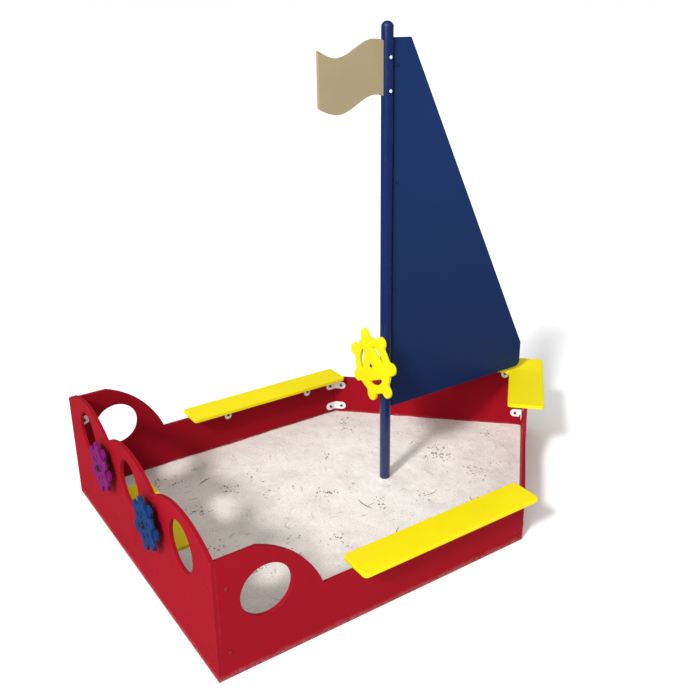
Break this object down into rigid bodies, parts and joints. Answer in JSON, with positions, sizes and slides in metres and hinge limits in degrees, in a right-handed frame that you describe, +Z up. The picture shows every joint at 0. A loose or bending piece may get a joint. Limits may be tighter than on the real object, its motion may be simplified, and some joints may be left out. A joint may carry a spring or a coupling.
{
  "type": "boat-shaped sandbox",
  "caption": "Open boat-shaped sandbox with board walls, portholes, corner seats, a mast with a sail and flag, a turning ship's wheel and turning gear wheels on the stern.",
  "frame": {"origin": "centre of the mast's foot, on the ground", "axes": "+X towards the bow, +Y to port, +Z up"},
  "size_m": [2.7591, 1.921, 2.49],
  "materials": {
    "red_board": "satin moulded board, red all through",
    "yellow_board": "satin moulded board, yellow all through",
    "blue_sail_board": "satin moulded board, deep blue",
    "tan_flag_board": "satin moulded board, sand tan",
    "purple_board": "satin moulded board, purple",
    "blue_gear_board": "satin moulded board, blue",
    "blue_mast_paint": "gloss powder coat, deep blue",
    "mast_cap_plastic": "satin moulded plastic, deep blue",
    "white_strap_paint": "white powder coat",
    "steel": "plain zinc-plated steel",
    "bush_plastic": "dark bearing plastic",
    "sand": "pale loose sand with dark specks and twigs"
  },
  "bodies": {
    "sandbox": {"stern_panel": "red_board", "starboard_side_panel": "red_board", "port_side_panel": "red_board", "starboard_bow_panel": "red_board", "port_bow_panel": "red_board", "starboard_seat": "yellow_board", "port_seat": "yellow_board", "stern_seat": "yellow_board", "bow_seat": "yellow_board", "sail": "blue_sail_board", "flag": "tan_flag_board", "mast_tube": "blue_mast_paint", "mast_base_plate": "blue_mast_paint", "sail_tabs": "blue_mast_paint", "wheel_boss": "blue_mast_paint", "mast_cap": "mast_cap_plastic", "stern_corner_straps": "white_strap_paint", "shoulder_straps": "white_strap_paint", "bow_tip_straps": "white_strap_paint", "side_seat_straps": "white_strap_paint", "stern_seat_straps": "white_strap_paint", "bow_seat_straps": "white_strap_paint", "panel_bolts": "steel", "panel_washers": "steel", "panel_nuts": "steel", "seat_screws": "steel", "sail_bolts": "steel", "sail_nuts": "steel", "flag_bolts": "steel", "flag_nuts": "steel", "wheel_sleeve": "steel", "wheel_washer": "steel", "wheel_bolt": "steel", "gear_spacers": "steel", "gear_sleeves": "steel", "gear_washers": "steel", "gear_axle_bolts": "steel", "gear_axle_nuts": "steel", "sand_bed": "sand"},
    "wheel": {"ship_wheel": "yellow_board", "ship_wheel_bush": "bush_plastic"},
    "purple_gear": {"purple_gear_back": "purple_board", "purple_gear_front": "purple_board", "purple_gear_bush": "bush_plastic", "purple_gear_screws": "steel"},
    "blue_gear": {"blue_gear_back": "blue_gear_board", "blue_gear_front": "blue_gear_board", "blue_gear_bush": "bush_plastic", "blue_gear_screws": "steel"}
  },
  "joints": [
    {"name": "ship_wheel_spin", "type": "hinge", "parent": "sandbox", "child": "wheel", "pos_m": [-0.0835, 0, 0.734], "axis": [1, 0, 0], "continuous": true},
    {"name": "purple_gear_spin", "type": "hinge", "parent": "sandbox", "child": "purple_gear", "pos_m": [-1.505, 0.29333, 0.447], "axis": [1, 0, 0], "continuous": true},
    {"name": "blue_gear_spin", "type": "hinge", "parent": "sandbox", "child": "blue_gear", "pos_m": [-1.505, -0.29333, 0.447], "axis": [1, 0, 0], "continuous": true}
  ]
}
